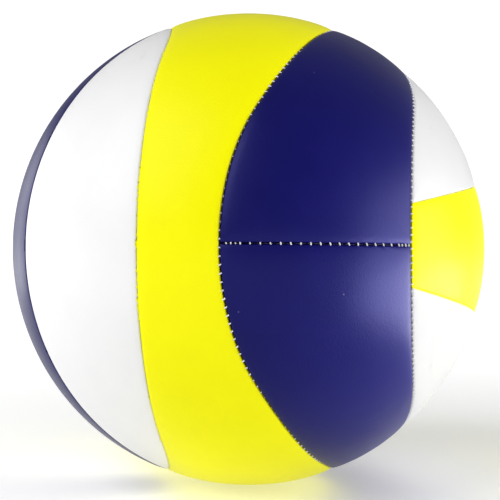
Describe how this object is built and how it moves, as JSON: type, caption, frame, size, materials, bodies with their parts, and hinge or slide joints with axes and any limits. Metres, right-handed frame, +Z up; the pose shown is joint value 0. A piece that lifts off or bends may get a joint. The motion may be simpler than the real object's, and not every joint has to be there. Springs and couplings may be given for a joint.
{
  "type": "volleyball",
  "caption": "Sewn volleyball with a paneled cover in white, yellow and navy blue, layered panels, an inner bladder and a valve with a removable plug.",
  "frame": {"origin": "the middle of the ball", "axes": "+X is the middle of the right face, whose strips run along Y; -X is the middle of the left face, whose strips run along Z, and the valve; -Y is the front and +Z is up"},
  "size_m": [0.2131, 0.2132, 0.2132],
  "materials": {
    "white_skin": "satin",
    "yellow_skin": "satin",
    "blue_skin": "satin",
    "foam": "matte",
    "lining": "matte",
    "thread": "matte",
    "bladder": "matte",
    "valve": "matte"
  },
  "bodies": {
    "ball": {"bladder": "bladder", "cover_left_front_strip": "white_skin", "cover_left_front_surround": "yellow_skin", "cover_left_middle_strip": "blue_skin", "cover_left_rear_strip": "white_skin", "cover_left_rear_surround": "yellow_skin", "cover_right_lower_strip": "white_skin", "cover_right_lower_surround": "blue_skin", "cover_right_middle_strip": "yellow_skin", "cover_right_upper_strip": "white_skin", "cover_right_upper_surround": "blue_skin", "foam_left_front_strip": "foam", "foam_left_front_surround": "foam", "foam_left_middle_strip": "foam", "foam_left_rear_strip": "foam", "foam_left_rear_surround": "foam", "foam_right_lower_strip": "foam", "foam_right_lower_surround": "foam", "foam_right_middle_strip": "foam", "foam_right_upper_strip": "foam", "foam_right_upper_surround": "foam", "lining_left_front_strip": "lining", "lining_left_front_surround": "lining", "lining_left_middle_strip": "lining", "lining_left_rear_strip": "lining", "lining_left_rear_surround": "lining", "lining_right_lower_strip": "lining", "lining_right_lower_surround": "lining", "lining_right_middle_strip": "lining", "lining_right_upper_strip": "lining", "lining_right_upper_surround": "lining", "thread_left_face_seam": "thread", "thread_left_front_strip_seam": "thread", "thread_left_lower_split_seam": "thread", "thread_left_rear_strip_seam": "thread", "thread_left_upper_split_seam": "thread", "thread_parting_seam": "thread", "thread_right_face_seam": "thread", "thread_right_front_split_seam": "thread", "thread_right_lower_strip_seam": "thread", "thread_right_rear_split_seam": "thread", "thread_right_upper_strip_seam": "thread", "valve_housing": "valve"},
    "plug": {"valve_plug": "valve"}
  },
  "joints": [
    {"name": "valve_plug_pull", "type": "slide", "parent": "ball", "child": "plug", "axis": [-1, 0, 0], "range_m": [0, 0.03]}
  ]
}
